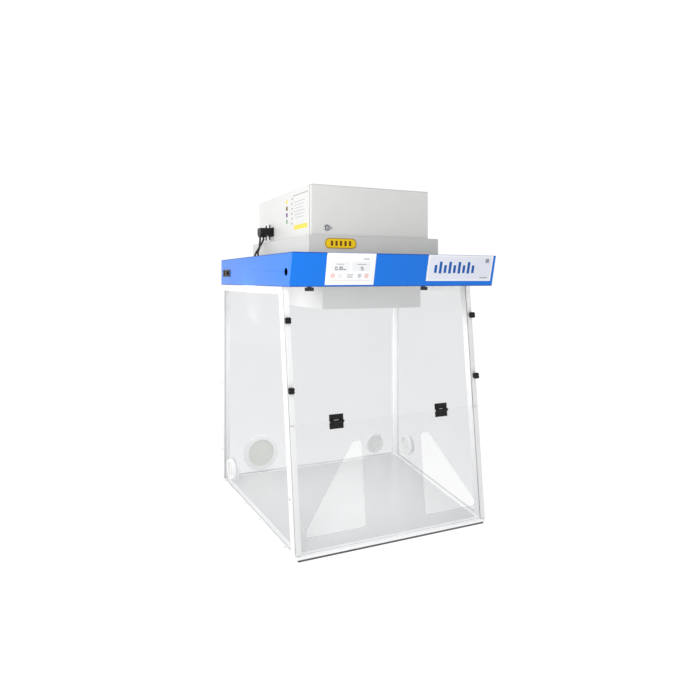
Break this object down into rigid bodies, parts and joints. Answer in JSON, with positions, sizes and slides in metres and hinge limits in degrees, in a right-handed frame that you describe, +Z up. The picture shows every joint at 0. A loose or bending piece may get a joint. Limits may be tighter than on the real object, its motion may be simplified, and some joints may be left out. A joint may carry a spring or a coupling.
{
  "type": "ductless fume hood",
  "caption": "Clear ductless fume hood: tapered see-through chamber with hinged flap and arm openings under a canopy with filter tray, plenum and fan box.",
  "frame": {"origin": "centre of the footprint box, at the underside of the rubber skids", "axes": "+Z up, front with the flap faces -Y, +X to the right seen from the front"},
  "size_m": [0.914, 0.7442, 1.244],
  "materials": {
    "white_paint": "satin",
    "frame_white": "painted, satin",
    "rubber_black": "matte",
    "surface_grey": "satin",
    "clear_panel": "clear",
    "black_plastic": "matte",
    "steel": "brushed",
    "port_white": "satin",
    "cap_grey": "matte",
    "canopy_blue": "gloss",
    "trim_white": "satin",
    "tile_pale": "gloss",
    "board_green": "satin",
    "badge_yellow": "gloss",
    "rocker_orange": "gloss",
    "tray_grey": "satin",
    "filter_white": "matte",
    "plenum_grey": "satin",
    "lock_metal": "polished",
    "motor_grey": "cast",
    "impeller_black": "matte",
    "lead_black": "matte"
  },
  "bodies": {
    "cabinet": {"skids": "rubber_black", "base_frame": "frame_white", "work_surface": "surface_grey", "post_front_left": "frame_white", "post_front_right": "frame_white", "post_rear_left": "frame_white", "post_rear_right": "frame_white", "top_rail_left": "frame_white", "top_rail_right": "frame_white", "top_rail_rear": "frame_white", "panel_left": "clear_panel", "panel_right": "clear_panel", "panel_rear": "clear_panel", "window_upper": "clear_panel", "window_stiles": "frame_white", "hinge_leaves_upper": "black_plastic", "hinge_pins": "steel", "port_ring_rear_large": "port_white", "port_ring_rear_small": "port_white", "port_ring_left": "port_white", "port_ring_right": "port_white", "canopy_shell": "canopy_blue", "canopy_deck": "white_paint", "canopy_cover": "white_paint", "control_fascia": "trim_white", "display_tiles": "tile_pale", "control_board": "board_green", "sign_plate": "trim_white", "badge": "badge_yellow", "power_inlet": "black_plastic", "filter_tray": "tray_grey", "prefilter": "filter_white", "main_filter": "filter_white", "plenum": "plenum_grey", "fan_box_floor": "white_paint", "fan_box": "white_paint", "exhaust_grille": "white_paint", "fan_motor": "motor_grey", "connector": "black_plastic", "leads": "lead_black", "lead_grommets": "rubber_black", "frame_screws": "steel"},
    "flap": {"flap_panel": "clear_panel", "flap_stiles": "frame_white", "hinge_leaves_lower": "black_plastic"},
    "window_knob_ul": {"window_knob_ul": "black_plastic"},
    "window_knob_ll": {"window_knob_ll": "black_plastic"},
    "window_knob_ur": {"window_knob_ur": "black_plastic"},
    "window_knob_lr": {"window_knob_lr": "black_plastic"},
    "port_cap_rear_large": {"port_cap_rear_large": "cap_grey"},
    "port_cap_rear_small": {"port_cap_rear_small": "cap_grey"},
    "port_cap_left": {"port_cap_left": "cap_grey"},
    "port_cap_right": {"port_cap_right": "cap_grey"},
    "fan_door": {"fan_box_door": "white_paint", "lock_escutcheon": "lock_metal"},
    "lock": {"door_lock": "lock_metal"},
    "rocker": {"power_rocker": "rocker_orange"},
    "clamp_knob_left": {"clamp_knob_left": "black_plastic"},
    "clamp_knob_right": {"clamp_knob_right": "black_plastic"},
    "impeller": {"impeller": "impeller_black"}
  },
  "joints": [
    {"name": "flap_hinge", "type": "hinge", "parent": "cabinet", "child": "flap", "pos_m": [0, -0.30076, 0.42203], "axis": [-1, 0, 0], "range_deg": [0, 150]},
    {"name": "window_knob_ul_turn", "type": "hinge", "parent": "cabinet", "child": "window_knob_ul", "pos_m": [-0.37624, -0.26423, 0.76261], "axis": [0, -0.9942, 0.1078], "continuous": true},
    {"name": "window_knob_ll_turn", "type": "hinge", "parent": "cabinet", "child": "window_knob_ll", "pos_m": [-0.37348, -0.28891, 0.53495], "axis": [0, -0.9942, 0.1078], "continuous": true},
    {"name": "window_knob_ur_turn", "type": "hinge", "parent": "cabinet", "child": "window_knob_ur", "pos_m": [0.37624, -0.26423, 0.76261], "axis": [0, -0.9942, 0.1078], "continuous": true},
    {"name": "window_knob_lr_turn", "type": "hinge", "parent": "cabinet", "child": "window_knob_lr", "pos_m": [0.37348, -0.28891, 0.53495], "axis": [0, -0.9942, 0.1078], "continuous": true},
    {"name": "port_cap_rear_large_pull", "type": "slide", "parent": "cabinet", "child": "port_cap_rear_large", "axis": [0, 1, 0], "range_m": [0, 0.05]},
    {"name": "port_cap_rear_small_pull", "type": "slide", "parent": "cabinet", "child": "port_cap_rear_small", "axis": [0, 1, 0], "range_m": [0, 0.05]},
    {"name": "port_cap_left_pull", "type": "slide", "parent": "cabinet", "child": "port_cap_left", "axis": [-0.9938, -0.1112, 0], "range_m": [0, 0.05]},
    {"name": "port_cap_right_pull", "type": "slide", "parent": "cabinet", "child": "port_cap_right", "axis": [0.9938, -0.1112, 0], "range_m": [0, 0.05]},
    {"name": "fan_door_hinge", "type": "hinge", "parent": "cabinet", "child": "fan_door", "pos_m": [0.245, -0.158, 1.15], "axis": [0, 0, 1], "range_deg": [0, 100]},
    {"name": "lock_turn", "type": "hinge", "parent": "fan_door", "child": "lock", "pos_m": [-0.189, -0.17, 1.087], "axis": [0, -1, 0], "range_deg": [0, 90]},
    {"name": "rocker_tilt", "type": "hinge", "parent": "cabinet", "child": "rocker", "pos_m": [-0.44781, 0.31944, 0.926], "axis": [-0.079, 0.9969, 0], "range_deg": [-7, 7]},
    {"name": "clamp_knob_left_turn", "type": "hinge", "parent": "cabinet", "child": "clamp_knob_left", "pos_m": [-0.246, -0.143, 0.86], "axis": [0, 0, 1], "continuous": true},
    {"name": "clamp_knob_right_turn", "type": "hinge", "parent": "cabinet", "child": "clamp_knob_right", "pos_m": [0.246, -0.143, 0.86], "axis": [0, 0, 1], "continuous": true},
    {"name": "impeller_spin", "type": "hinge", "parent": "cabinet", "child": "impeller", "pos_m": [0, 0.084, 1.12], "axis": [0, 0, 1], "continuous": true}
  ]
}
